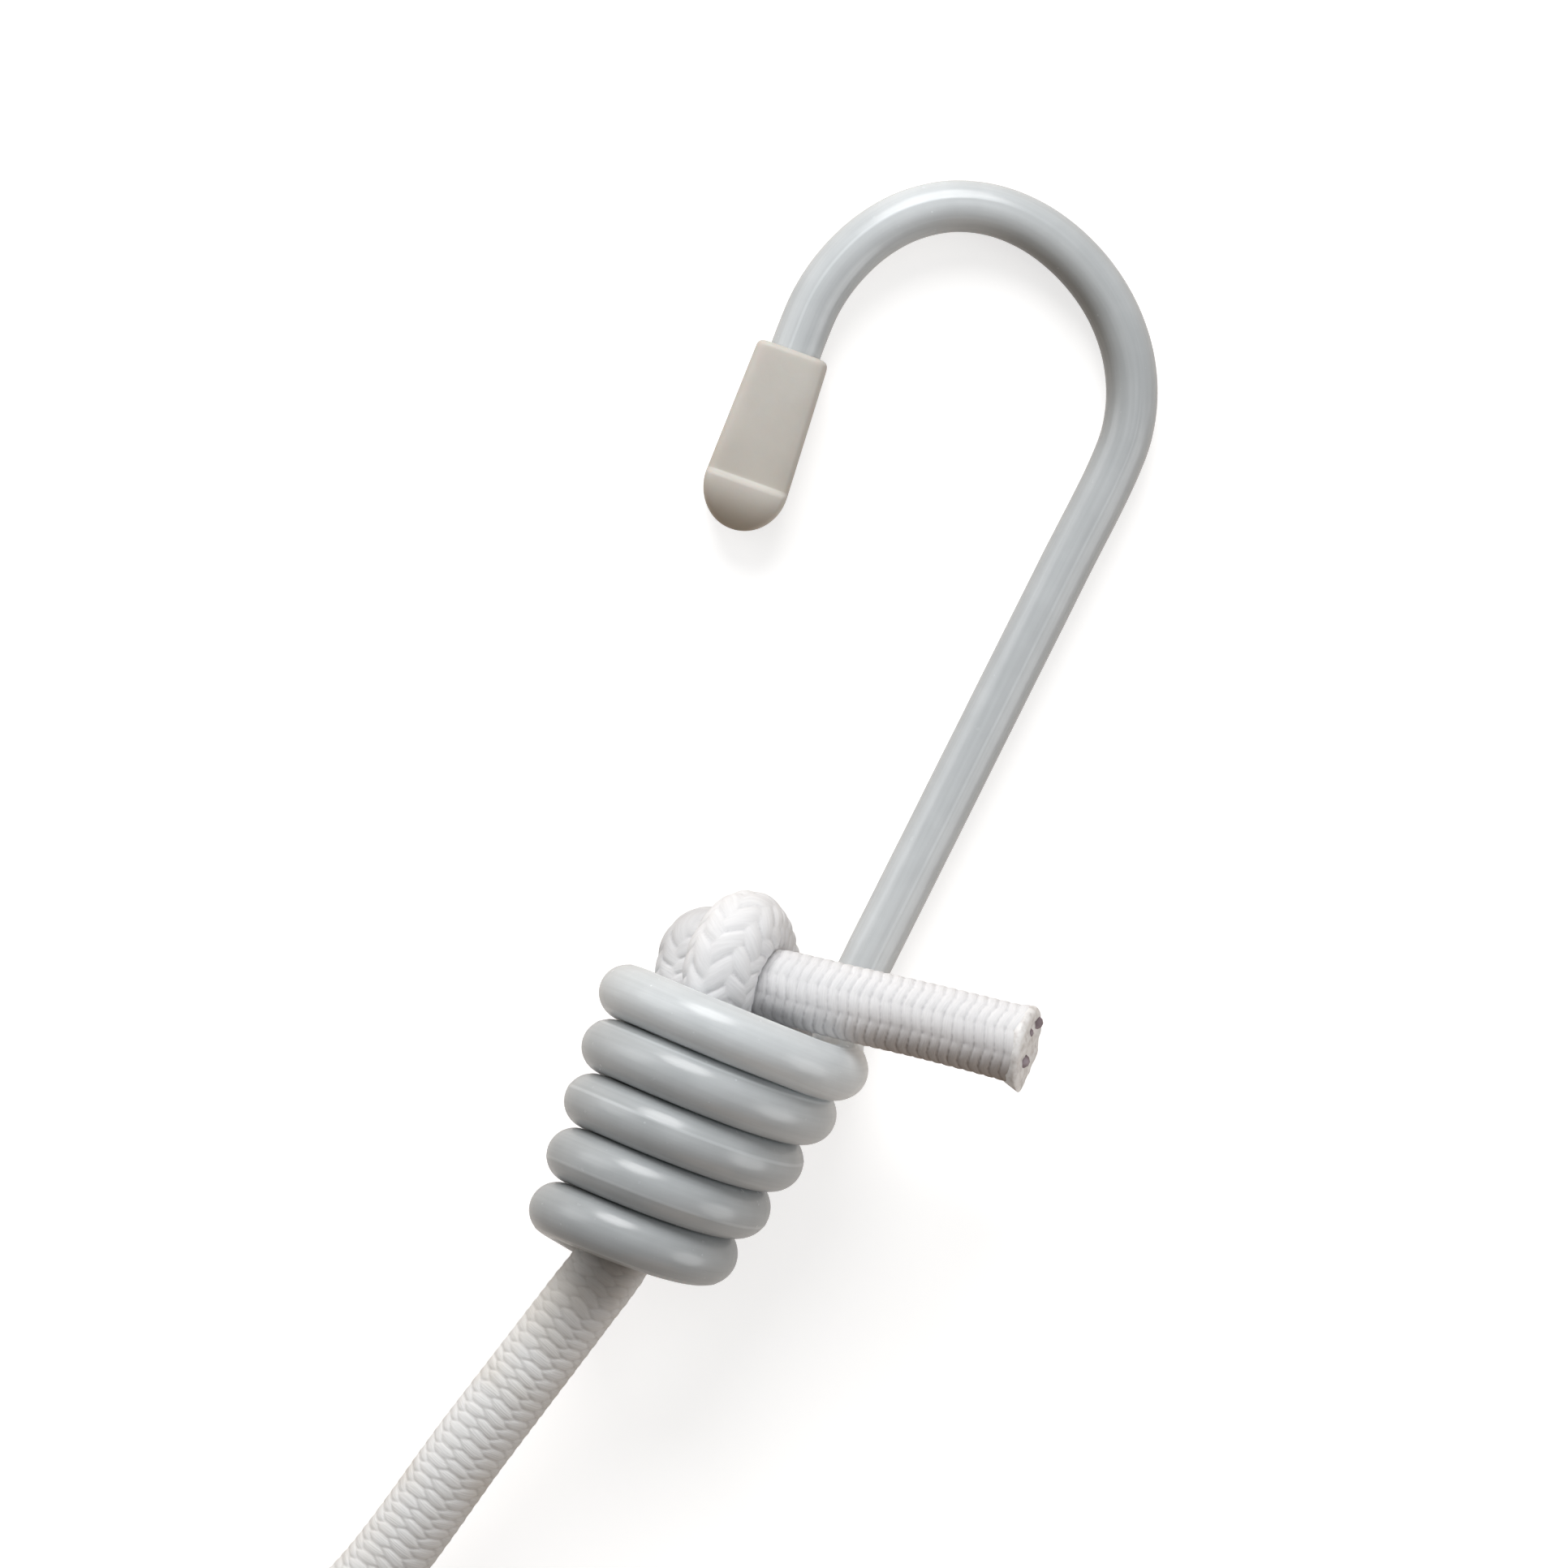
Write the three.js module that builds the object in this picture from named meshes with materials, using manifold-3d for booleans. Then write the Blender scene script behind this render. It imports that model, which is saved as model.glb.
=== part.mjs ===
// Bungee clothesline: two coated wire hooks on one elastic cord, put away as a tied hank.
// Millimetres, +Z up. It lies on the floor at z = 0 with its origin under the middle of the hank.
// Hook A points along +Y and hook B is the same hook turned half round about Z.
import * as THREE from 'three';
import { mergeVertices } from 'three/addons/utils/BufferGeometryUtils.js';
import Module from 'manifold-3d';

const wasm = await Module();
wasm.setup();

// Driving dimensions of the cord
const cordDiameter = 8;
const knotCordDiameter = 5; // the cord is drawn thin where the knot is pulled tight
const holeShare = 0.72; // inside of the braided sheath, as a share of the cord
const coreShare = 0.63; // bundle of rubber strands, as a share of the cord
const meetGap = 0.3; // between two pieces that meet

// Driving dimensions of the hook
const coatedWireDiameter = 5.3;
const coatingThickness = 0.65;
const wireClearance = 0.25;
const coilTurns = 4.72;
const coilPitch = 5.85;
const coilTopRadius = 12;
const coilTaper = 0.9; // the coil's radius shrinks by this much each turn down
const coilTopFront = 23.1; // height along the hook of the top turn's front
const shankSide = 9.7;
const shankLift = 0.7; // the shank runs this much nearer the axis than the top turn
const bendCentre = 93.8; // height along the hook of the middle of the bend
const bendRadius = 17.95;
const bendAngle = THREE.MathUtils.degToRad(187);
const bendBulge = 1.75; // the bend is drawn out by this much on its far shoulder
const bendBulgeAngle = THREE.MathUtils.degToRad(120);
const bendBulgeSpread = THREE.MathUtils.degToRad(40);
const tipLength = 14;

// Driving dimensions of the tip cap
const capLength = 19.8;
const capMouthWidth = 7.8;
const capNoseWidth = 9;
const capThickness = 7.2;
const capEdgeRound = 0.6;
const socketDepth = 12.3;

// Driving dimensions of the hank and its tie
const hookOffset = 128; // from the middle of the hank to the hook's own zero
const runHalfLength = 40;
const outerTrack = 26;
const trackStep = 9.2;
const layerStep = 8.6;
const waistDraw = 9;
const tieWidth = 12;
const tieThickness = 1.2;

// Sizes worked out from the driving ones
const wireRadius = coatedWireDiameter / 2;
const steelRadius = wireRadius - coatingThickness - wireClearance;
const cordRadius = cordDiameter / 2;
const shankDrop = coilTopRadius - shankLift;
const axisHeight = shankDrop + wireRadius;
const waistLift = tieThickness + meetGap;

// Materials
const finishes = {
  coating: { color: 0xcfd3d6, roughness: 0.42, metalness: 0 },
  steel: { color: 0xb4b7ba, roughness: 0.35, metalness: 1 },
  cap: { color: 0xcdc9c3, roughness: 0.6, metalness: 0 },
  sheath: { color: 0xf0efed, roughness: 0.85, metalness: 0 },
  rubber: { color: 0x6b5d63, roughness: 0.8, metalness: 0 },
  tie: { color: 0x3a3c3f, roughness: 0.9, metalness: 0 },
};

function addMesh(parent, name, geometry, finish) {
  const mesh = new THREE.Mesh(geometry, new THREE.MeshStandardMaterial(finishes[finish]));
  mesh.name = name;
  parent.add(mesh);
}

// Round sections, drawn as polygons
function polygonPoints(radius, sides) {
  const points = [];
  for (let corner = 0; corner < sides; corner += 1) {
    const angle = (2 * Math.PI * (corner + 0.5)) / sides;
    points.push(new THREE.Vector2(radius * Math.cos(angle), radius * Math.sin(angle)));
  }
  return points;
}

function roundBar(radius, sides) {
  return new THREE.Shape(polygonPoints(radius, sides));
}

function roundTube(radius, sides, holeRadius, holeSides) {
  const section = roundBar(radius, sides);
  section.holes.push(new THREE.Path(polygonPoints(holeRadius, holeSides)));
  return section;
}

function alongCurve(section, curve, steps) {
  return new THREE.ExtrudeGeometry(section, { steps, bevelEnabled: false, extrudePath: curve });
}

function curveThrough(points) {
  const curve = new THREE.CatmullRomCurve3(points, false, 'centripetal');
  curve.arcLengthDivisions = 2000;
  return curve;
}

// Least gap between two stretches of one tube, measured on points along it
function printLeastGap(name, curve, diameter) {
  const count = 500;
  const skipped = 2.2 * diameter; // neighbours this near along the tube are one stretch
  const spacing = curve.getLength() / count;
  const points = curve.getSpacedPoints(count);
  let least = Infinity;
  for (let i = 0; i < points.length; i += 1) {
    for (let j = i + Math.ceil(skipped / spacing); j < points.length; j += 1) {
      least = Math.min(least, points[i].distanceTo(points[j]));
    }
  }
  const length = curve.getLength().toFixed(0);
  const gap = (least - diameter).toFixed(2);
  console.log(`${name}: length ${length}, least gap ${gap}`);
}

// A stretch of cord is a braided sheath round a core of rubber strands
function addCord(parent, name, curve, steps, diameter) {
  const radius = diameter / 2;
  const sheathSides = 8;
  const coreSides = 5;
  const sheath = roundTube(radius, sheathSides, radius * holeShare, coreSides);
  addMesh(parent, `${name}_sheath`, alongCurve(sheath, curve, steps), 'sheath');
  const core = roundBar(radius * coreShare, coreSides);
  addMesh(parent, `${name}_core`, alongCurve(core, curve, steps), 'rubber');
}

// The hook's wire: coil, turn up into the shank, shank, bend and tip
function hookCurve() {
  const sideways = Math.sqrt(shankSide ** 2 + shankDrop ** 2 - coilTopRadius ** 2);
  const departAngle = Math.atan2(shankDrop, shankSide) - Math.atan2(sideways, coilTopRadius);
  const frontTurns = (departAngle + Math.PI / 2) / (2 * Math.PI);
  const points = [];

  const coilPoints = 24 * Math.floor(coilTurns);
  for (let i = 0; i <= coilPoints; i += 1) {
    const turnsLeft = coilTurns * (1 - i / coilPoints);
    const angle = departAngle - 2 * Math.PI * turnsLeft;
    const radius = coilTopRadius - coilTaper * turnsLeft;
    const y = coilTopFront + coilPitch * (frontTurns - turnsLeft);
    points.push(new THREE.Vector3(radius * Math.cos(angle), y, axisHeight - radius * Math.sin(angle)));
  }

  const climb = Math.atan2(coilPitch, 2 * Math.PI * coilTopRadius);
  const turnRadius = sideways / (1 - Math.sin(climb));
  const along = new THREE.Vector3(0, 1, 0);
  const round = new THREE.Vector3(-Math.sin(departAngle), 0, -Math.cos(departAngle));
  const heading = round.clone().multiplyScalar(Math.cos(climb)).addScaledVector(along, Math.sin(climb));
  const inward = round.clone().multiplyScalar(-Math.sin(climb)).addScaledVector(along, Math.cos(climb));
  const depart = points[points.length - 1].clone();
  const turnPoints = 6;
  for (let i = 1; i <= turnPoints; i += 1) {
    const angle = ((Math.PI / 2 - climb) * i) / turnPoints;
    const point = depart.clone().addScaledVector(heading, turnRadius * Math.sin(angle));
    points.push(point.addScaledVector(inward, turnRadius * (1 - Math.cos(angle))));
  }

  const shankFoot = points[points.length - 1].y;
  const shankPoints = 5;
  for (let i = 1; i < shankPoints; i += 1) {
    const y = shankFoot + ((bendCentre - shankFoot) * i) / shankPoints;
    points.push(new THREE.Vector3(shankSide, y, wireRadius));
  }

  const bendPoints = 14;
  for (let i = 0; i <= bendPoints; i += 1) {
    points.push(bendPoint((bendAngle * i) / bendPoints, 0));
  }
  points.push(bendPoint(bendAngle, tipLength / 2));
  points.push(bendPoint(bendAngle, tipLength));
  return curveThrough(points);
}

// The bend tilts up a little, so that the thicker cap at its end lies on the floor too
function bendPoint(angle, beyond) {
  const tilt = Math.asin((capThickness / 2 - wireRadius) / (2 * bendRadius));
  const aside = (angle - bendBulgeAngle) / bendBulgeSpread;
  const radius = bendRadius + bendBulge * Math.exp(-aside * aside);
  const across = bendRadius - radius * Math.cos(angle) + beyond * Math.sin(angle);
  const y = bendCentre + radius * Math.sin(angle) + beyond * Math.cos(angle);
  return new THREE.Vector3(shankSide - across * Math.cos(tilt), y, wireRadius + across * Math.sin(tilt));
}

// Tip cap: a flat-faced moulding with rounded edges and a socket for the wire
function toSolid(geometry) {
  geometry.deleteAttribute('normal');
  geometry.deleteAttribute('uv');
  const merged = mergeVertices(geometry, 1e-4);
  const vertProperties = merged.attributes.position.array;
  const triVerts = Uint32Array.from(merged.index.array);
  return new wasm.Manifold(new wasm.Mesh({ numProp: 3, vertProperties, triVerts }));
}

function fromSolid(solid) {
  const mesh = solid.getMesh();
  const geometry = new THREE.BufferGeometry();
  geometry.setAttribute('position', new THREE.BufferAttribute(mesh.vertProperties, 3));
  geometry.setIndex(new THREE.BufferAttribute(mesh.triVerts, 1));
  geometry.computeVertexNormals();
  return geometry;
}

function capGeometry() {
  const mouth = capMouthWidth / 2 - capEdgeRound;
  const nose = capNoseWidth / 2 - capEdgeRound;
  const outline = new THREE.Shape();
  outline.moveTo(-mouth, -capEdgeRound);
  outline.lineTo(-nose, capEdgeRound + nose - capLength);
  outline.absarc(0, capEdgeRound + nose - capLength, nose, Math.PI, 2 * Math.PI, false);
  outline.lineTo(mouth, -capEdgeRound);
  const body = new THREE.ExtrudeGeometry(outline, {
    depth: capThickness - 2 * capEdgeRound,
    curveSegments: 8,
    bevelThickness: capEdgeRound,
    bevelSize: capEdgeRound,
    bevelSegments: 2,
  });
  body.translate(0, 0, capEdgeRound - capThickness / 2);
  const socketRadius = wireRadius + meetGap;
  const socketSides = 12;
  const socket = new THREE.CylinderGeometry(socketRadius, socketRadius, 2 * socketDepth, socketSides);
  return fromSolid(toSolid(body).subtract(toSolid(socket)));
}

function addCap(parent, name) {
  const capStart = bendPoint(bendAngle, tipLength + meetGap - socketDepth);
  const capEnd = bendPoint(bendAngle, tipLength);
  const lengthwise = capStart.clone().sub(capEnd).normalize();
  const crosswise = new THREE.Vector3().crossVectors(lengthwise, new THREE.Vector3(0, 0, 1)).normalize();
  const upright = new THREE.Vector3().crossVectors(crosswise, lengthwise);
  const geometry = capGeometry();
  const place = new THREE.Matrix4().makeBasis(crosswise, lengthwise, upright);
  geometry.applyMatrix4(place.setPosition(capStart));
  addMesh(parent, name, geometry, 'cap');
}

function addHook(parent, name) {
  const curve = hookCurve();
  const steps = 104;
  const coatingSides = 8;
  const steelSides = 5;
  const coating = roundTube(wireRadius, coatingSides, steelRadius + wireClearance, steelSides);
  addMesh(parent, `${name}_wire`, alongCurve(roundBar(steelRadius, steelSides), curve, steps), 'steel');
  addMesh(parent, `${name}_coating`, alongCurve(coating, curve, steps), 'coating');
  addCap(parent, `${name}_tip_cap`);
  printLeastGap(name, curve, coatedWireDiameter);
}

// Overhand knot in the mouth of the coil: across, along the hook, and above the coil's axis
const knotRoute = [
  [0, 9, 0],
  [0, 12, -0.1],
  [0, 15.5, -1.7],
  [-0.3, 19, -1.2],
  [0, 22, 1.6],
  [-1.5, 24.5, 4.7],
  [-2.8, 28.5, 5.8],
  [-2.6, 32.6, 4.6],
  [-1.1, 35, 1.4],
  [1, 34.8, -2.6],
  [3, 31.5, -5],
  [4.2, 27, -4.8],
  [5.2, 23.5, -3],
  [5.6, 20.2, -0.2],
  [4.1, 17.7, 2.8],
  [0.6, 16.9, 4.3],
  [-3.3, 17.9, 3.8],
  [-5.4, 20.5, 1.8],
  [-6, 24, 0.2],
  [-3.9, 27.2, -0.5],
  [0, 29, 0.2],
  [3.2, 29.9, 2.1],
  [5.6, 30.4, 2.8],
];
const boreFoot = -3; // where the cord leaves the coil
const tailEnd = [28.5, 35.2, 9];

function onAxis([across, along, above]) {
  return new THREE.Vector3(across, along, axisHeight + above);
}

function addCordEnd(parent, name) {
  const knot = curveThrough(knotRoute.map(onAxis));
  const knotSteps = 40;
  const straightSteps = 3;
  const boreTop = onAxis([0, knotRoute[0][1] - meetGap, 0]);
  const bore = new THREE.LineCurve3(onAxis([0, boreFoot, 0]), boreTop);
  addCord(parent, `${name}_bore`, bore, straightSteps, cordDiameter);
  addCord(parent, `${name}_knot`, knot, knotSteps, knotCordDiameter);
  printLeastGap(`${name}_knot`, knot, knotCordDiameter);
  const tailTip = onAxis(tailEnd);
  const tailRoot = knot.getPoint(1);
  tailRoot.addScaledVector(tailTip.clone().sub(tailRoot).normalize(), meetGap);
  const tail = new THREE.LineCurve3(tailRoot, tailTip);
  addCord(parent, `${name}_tail`, tail, straightSteps, cordDiameter);
}

// Free stretches between the coils and the hank: sideways, share of the way to the coil, and height
const runEnd = runHalfLength + cordDiameter; // the hank's ends run on straight by one diameter
const upperLayer = cordRadius + layerStep;
const leadWay = [
  [-outerTrack, 0],
  [-outerTrack, 0.035],
  [-25.6, 0.065],
  [-22.5, 0.14],
  [-17.5, 0.235],
  [-12.5, 0.33],
  [-8.6, 0.43],
  [-4.6, 0.7],
  [-1.4, 0.92],
  [-0.1, 0.975],
  [0, 1],
];

function leadRoute(side, hankHeight) {
  const foot = runEnd + meetGap;
  const top = hookOffset + boreFoot - meetGap;
  return leadWay.map(([across, share]) => {
    const climb = THREE.MathUtils.smoothstep(share, 0, 1);
    const height = THREE.MathUtils.lerp(hankHeight, axisHeight, climb);
    return new THREE.Vector3(across, side * THREE.MathUtils.lerp(foot, top, share), height);
  });
}

function addLead(parent, name, route) {
  const curve = curveThrough(route);
  console.log(`${name}: length ${curve.getLength().toFixed(0)}`);
  const leadSteps = 14;
  addCord(parent, name, curve, leadSteps, cordDiameter);
}

// How far the runs are drawn in: fully at the waist, not at all at the folds
function waistShare(y) {
  return 0.5 * (1 + Math.cos((Math.PI * y) / runHalfLength));
}

// Hank: loops spiral in along the lower layer, climb along one run and spiral out on the upper layer
function hankCurve() {
  const tracks = [];
  for (let run = 0; run < 4; run += 1) {
    tracks.push((run % 2 ? 1 : -1) * (outerTrack - (run * trackStep) / 2));
  }
  tracks.push(tracks[2], tracks[1], tracks[0]);
  const climbRun = 3;
  const points = [new THREE.Vector3(-outerTrack, runEnd, cordRadius)];
  const runPoints = 8;
  const foldPoints = 8;
  tracks.forEach((track, run) => {
    const heading = run % 2 ? 1 : -1;
    for (let i = 0; i <= runPoints; i += 1) {
      const share = i / runPoints;
      const y = heading * runHalfLength * (2 * share - 1);
      const waist = waistShare(y);
      let layer = run > climbRun ? 1 : 0;
      if (run === climbRun) {
        layer = 0.5 * (1 - Math.cos(Math.PI * share));
      }
      const x = track - Math.sign(track) * waistDraw * waist;
      points.push(new THREE.Vector3(x, y, cordRadius + layer * layerStep + waistLift * waist));
    }
    if (run + 1 < tracks.length) {
      const middle = (track + tracks[run + 1]) / 2;
      const radius = (track - tracks[run + 1]) / 2;
      const height = points[points.length - 1].z;
      for (let i = 1; i < foldPoints; i += 1) {
        const angle = (Math.PI * i) / foldPoints;
        const y = heading * (runHalfLength + Math.abs(radius) * Math.sin(angle));
        points.push(new THREE.Vector3(middle + radius * Math.cos(angle), y, height));
      }
    }
  });
  points.push(new THREE.Vector3(-outerTrack, -runEnd, upperLayer));
  return curveThrough(points);
}

// Tie: a strap closed round the waist of the hank
function tieGeometry() {
  const drawnIn = waistDraw * waistShare(tieWidth / 2);
  const left = drawnIn - outerTrack - cordRadius - meetGap;
  const right = outerTrack - trackStep / 2 - drawnIn + cordRadius + meetGap;
  const bottom = tieThickness;
  const top = waistLift + cordDiameter + layerStep + meetGap;
  const section = roundedBox(left - tieThickness, right + tieThickness, 0, top + tieThickness, cordRadius);
  section.holes.push(roundedBox(left, right, bottom, top, cordRadius - tieThickness));
  const form = { depth: tieWidth, bevelEnabled: false, curveSegments: 4 };
  const strap = new THREE.ExtrudeGeometry(section, form);
  strap.rotateX(Math.PI / 2);
  strap.translate(0, tieWidth / 2, 0);
  return strap;
}

function roundedBox(left, right, bottom, top, corner) {
  const box = new THREE.Shape();
  box.absarc(right - corner, bottom + corner, corner, -Math.PI / 2, 0, false);
  box.absarc(right - corner, top - corner, corner, 0, Math.PI / 2, false);
  box.absarc(left + corner, top - corner, corner, Math.PI / 2, Math.PI, false);
  box.absarc(left + corner, bottom + corner, corner, Math.PI, 1.5 * Math.PI, false);
  return box;
}

// Assembly
const group = new THREE.Group();
group.name = 'bungee_clothesline';

['a', 'b'].forEach((letter, index) => {
  const end = new THREE.Group();
  end.name = `end_${letter}`;
  end.position.y = index ? -hookOffset : hookOffset;
  end.rotation.z = index * Math.PI;
  addHook(end, `hook_${letter}`);
  addCordEnd(end, `cord_${letter}`);
  group.add(end);
});

addLead(group, 'cord_a_lead', leadRoute(1, cordRadius));
addLead(group, 'cord_b_lead', leadRoute(-1, upperLayer));
const hank = hankCurve();
const hankSteps = 90;
addCord(group, 'cord_hank', hank, hankSteps, cordDiameter);
printLeastGap('cord_hank', hank, cordDiameter);
addMesh(group, 'hank_tie', tieGeometry(), 'tie');

export default group;
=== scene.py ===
# Bungee clothesline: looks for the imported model, in metres, in the model's own frame.
import math

import bmesh
import bpy
from mathutils import Matrix, Vector, noise


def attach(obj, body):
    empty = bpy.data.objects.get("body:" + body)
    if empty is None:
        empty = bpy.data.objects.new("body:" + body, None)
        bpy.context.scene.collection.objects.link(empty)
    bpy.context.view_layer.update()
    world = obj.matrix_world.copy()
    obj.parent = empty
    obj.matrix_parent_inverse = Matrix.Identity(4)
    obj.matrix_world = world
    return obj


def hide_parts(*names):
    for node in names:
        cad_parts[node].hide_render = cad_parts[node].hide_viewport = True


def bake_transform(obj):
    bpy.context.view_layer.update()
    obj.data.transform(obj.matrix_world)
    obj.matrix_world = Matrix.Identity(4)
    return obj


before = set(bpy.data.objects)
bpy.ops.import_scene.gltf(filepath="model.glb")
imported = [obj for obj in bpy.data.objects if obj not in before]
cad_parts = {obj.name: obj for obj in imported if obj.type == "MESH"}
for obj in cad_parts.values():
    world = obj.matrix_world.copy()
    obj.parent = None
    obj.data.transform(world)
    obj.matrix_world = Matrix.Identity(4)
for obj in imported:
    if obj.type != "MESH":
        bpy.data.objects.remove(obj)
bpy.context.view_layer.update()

# Sizes of the real object
cord_diameter = 0.008
wire_radius = 0.00265
axis_height = 0.01395  # height of a coil's axis above the floor
hook_offset = 0.128  # from the middle of the hank to a hook's own zero

# Camera: straight above hook A, turned so that the hook leans as in the photo
view_turn = math.radians(26.57)
view_middle = (-0.0066, 0.1763)
view_height = 0.55
view_span = 0.1627  # width of the picture at the height of the coil's axis
camera = bpy.data.objects.new("camera", bpy.data.cameras.new("camera"))
camera.location = (*view_middle, axis_height + view_height)
camera.rotation_euler = (0, 0, view_turn)
camera.data.angle = 2 * math.atan(view_span / 2 / view_height)
bpy.context.scene.collection.objects.link(camera)
bpy.context.scene.camera = camera


# Curves through points
def curve_through(points, parts):
    """Centripetal Catmull-Rom curve through the points, each span cut into so many parts."""
    points = [Vector(point) for point in points]
    points = [2 * points[0] - points[1]] + points + [2 * points[-1] - points[-2]]
    route = []
    for first in range(len(points) - 3):
        before, start, end, after = points[first:first + 4]
        start_time = math.sqrt((start - before).length)
        end_time = start_time + math.sqrt((end - start).length)
        after_time = end_time + math.sqrt((after - end).length)
        for part in range(parts):
            time = start_time + (end_time - start_time) * part / parts
            within = (time - start_time) / (end_time - start_time)
            leading = before.lerp(start, time / start_time)
            middle = start.lerp(end, within)
            trailing = end.lerp(after, (time - end_time) / (after_time - end_time))
            early = leading.lerp(middle, time / end_time)
            late = middle.lerp(trailing, (time - start_time) / (after_time - start_time))
            route.append(early.lerp(late, within))
    route.append(points[-2])
    return route


def route_length(route):
    return sum((b - a).length for a, b in zip(route, route[1:]))


# Geometry trees
class Tree:
    """A geometry tree being put together, with named number inputs."""

    def __init__(self, name, inputs):
        self.tree = bpy.data.node_groups.new(name, "GeometryNodeTree")
        interface = self.tree.interface
        interface.new_socket("Geometry", in_out="INPUT", socket_type="NodeSocketGeometry")
        interface.new_socket("Geometry", in_out="OUTPUT", socket_type="NodeSocketGeometry")
        for label, value in inputs.items():
            socket = interface.new_socket(label, in_out="INPUT", socket_type="NodeSocketFloat")
            socket.default_value = value
        self.source = self.tree.nodes.new("NodeGroupInput").outputs
        self.sink = self.tree.nodes.new("NodeGroupOutput").inputs[0]

    def add(self, kind, values=None, **settings):
        node = self.tree.nodes.new(kind)
        for setting, value in settings.items():
            setattr(node, setting, value)
        for key, value in (values or {}).items():
            self.feed(node.inputs[key], value)
        return node

    def feed(self, socket, value):
        if isinstance(value, bpy.types.NodeSocket):
            self.tree.links.new(value, socket)
        else:
            socket.default_value = value

    def maths(self, operation, *values):
        node = self.add("ShaderNodeMath", operation=operation)
        for socket, value in zip(node.inputs, values):
            self.feed(socket, value)
        return node.outputs[0]

    def vector(self, x, y, z):
        return self.add("ShaderNodeCombineXYZ", {0: x, 1: y, 2: z}).outputs[0]

    def store(self, geometry, name, value, kind="FLOAT"):
        values = {"Geometry": geometry, "Name": name, "Value": value}
        node = self.add("GeometryNodeStoreNamedAttribute", values, data_type=kind, domain="POINT")
        return node.outputs[0]

    def read(self, name):
        return self.add("GeometryNodeInputNamedAttribute", {"Name": name}).outputs[0]

    def fade(self, offset):
        """One where there is no offset, falling off on both sides as a bell does."""
        square = self.maths("MULTIPLY", offset, offset)
        return self.maths("EXPONENT", self.maths("MULTIPLY", square, -1.0))

    def rail(self, spacing):
        """The curve that the tree is given, cut into even steps."""
        values = {"Curve": self.source["Geometry"], "Length": spacing}
        return self.add("GeometryNodeResampleCurve", values, mode="LENGTH").outputs[0]

    def tube(self, spacing, sides):
        """A tube along the curve, with the way round and the way along kept at each point."""
        parameter = self.add("GeometryNodeSplineParameter").outputs
        rail = self.store(self.rail(spacing), "along", parameter["Length"])
        ring = self.add("GeometryNodeCurvePrimitiveCircle", {"Resolution": sides, "Radius": 1.0})
        ring = self.store(ring.outputs[0], "around", parameter["Factor"])
        radius = self.add("GeometryNodeInputRadius").outputs[0]
        values = {"Curve": rail, "Profile Curve": ring, "Scale": radius, "Fill Caps": True}
        return self.add("GeometryNodeCurveToMesh", values).outputs[0]

    def raise_by(self, geometry, height):
        normal = self.add("GeometryNodeInputNormal").outputs[0]
        offset = self.add("ShaderNodeVectorMath", {0: normal, "Scale": height}, operation="SCALE")
        values = {"Geometry": geometry, "Offset": offset.outputs[0]}
        return self.add("GeometryNodeSetPosition", values).outputs[0]

    def finish(self, geometry, material):
        smooth = self.add("GeometryNodeSetShadeSmooth", {"Geometry": geometry}).outputs[0]
        real = self.add("GeometryNodeRealizeInstances", {"Geometry": smooth}).outputs[0]
        painted = self.add("GeometryNodeSetMaterial", {"Geometry": real, "Material": material})
        self.feed(self.sink, painted.outputs[0])
        return self.tree


def run_tree(name, tree, route, radii, inputs):
    """The plain mesh that the tree makes along the route, or on its points where there are no radii."""
    if radii:
        data = bpy.data.curves.new(name + "_route", "CURVE")
        data.dimensions = "3D"
        spline = data.splines.new("POLY")
        spline.points.add(len(route) - 1)
        for point, place, radius in zip(spline.points, route, radii):
            point.co = (*place, 1)
            point.radius = radius
    else:
        data = bpy.data.meshes.new(name + "_route")
        data.from_pydata(route, [], [])
    carrier = bpy.data.objects.new(name + "_route", data)
    bpy.context.scene.collection.objects.link(carrier)
    modifier = carrier.modifiers.new("tree", "NODES")
    modifier.node_group = tree
    for item in tree.interface.items_tree:
        if item.in_out == "INPUT" and item.name in inputs:
            modifier[item.identifier] = inputs[item.name]
    bpy.context.view_layer.update()
    seen = carrier.evaluated_get(bpy.context.evaluated_depsgraph_get())
    mesh = bpy.data.meshes.new_from_object(seen)
    bpy.data.objects.remove(carrier)
    return add_piece(name, mesh)


def finished_mesh(name, mesh, material):
    """The mesh as smooth data with its faces outwards."""
    bmesh.ops.recalc_face_normals(mesh, faces=mesh.faces)
    for face in mesh.faces:
        face.smooth = True
    data = bpy.data.meshes.new(name)
    mesh.to_mesh(data)
    mesh.free()
    data.materials.append(material)
    return data


def add_piece(name, mesh):
    piece = bpy.data.objects.new(name, mesh)
    bpy.context.scene.collection.objects.link(piece)
    return piece


# Shader helpers
plain = (1.0, 1.0, 1.0)  # leaves a colour as it is


def grey(level):
    return (level, level, level)


def new_material(name):
    material = bpy.data.materials.new(name)
    material.use_nodes = True
    return material, material.node_tree, material.node_tree.nodes["Principled BSDF"]


def add_node(tree, kind, values=None, **settings):
    node = tree.nodes.new(kind)
    for setting, value in settings.items():
        setattr(node, setting, value)
    for key, value in (values or {}).items():
        if isinstance(value, bpy.types.NodeSocket):
            tree.links.new(value, node.inputs[key])
        else:
            node.inputs[key].default_value = value
    return node


def object_place(tree):
    return add_node(tree, "ShaderNodeTexCoord").outputs["Object"]


def stored(tree, name, output="Fac"):
    """A value that a geometry tree or a mesh keeps at each point."""
    return add_node(tree, "ShaderNodeAttribute", attribute_name=name).outputs[output]


def noise_over(tree, place, scale, detail):
    values = {"Vector": place, "Scale": scale, "Detail": detail}
    return add_node(tree, "ShaderNodeTexNoise", values).outputs["Fac"]


def scaled(tree, place, scale):
    return add_node(tree, "ShaderNodeMapping", {"Vector": place, "Scale": scale}).outputs[0]


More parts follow.
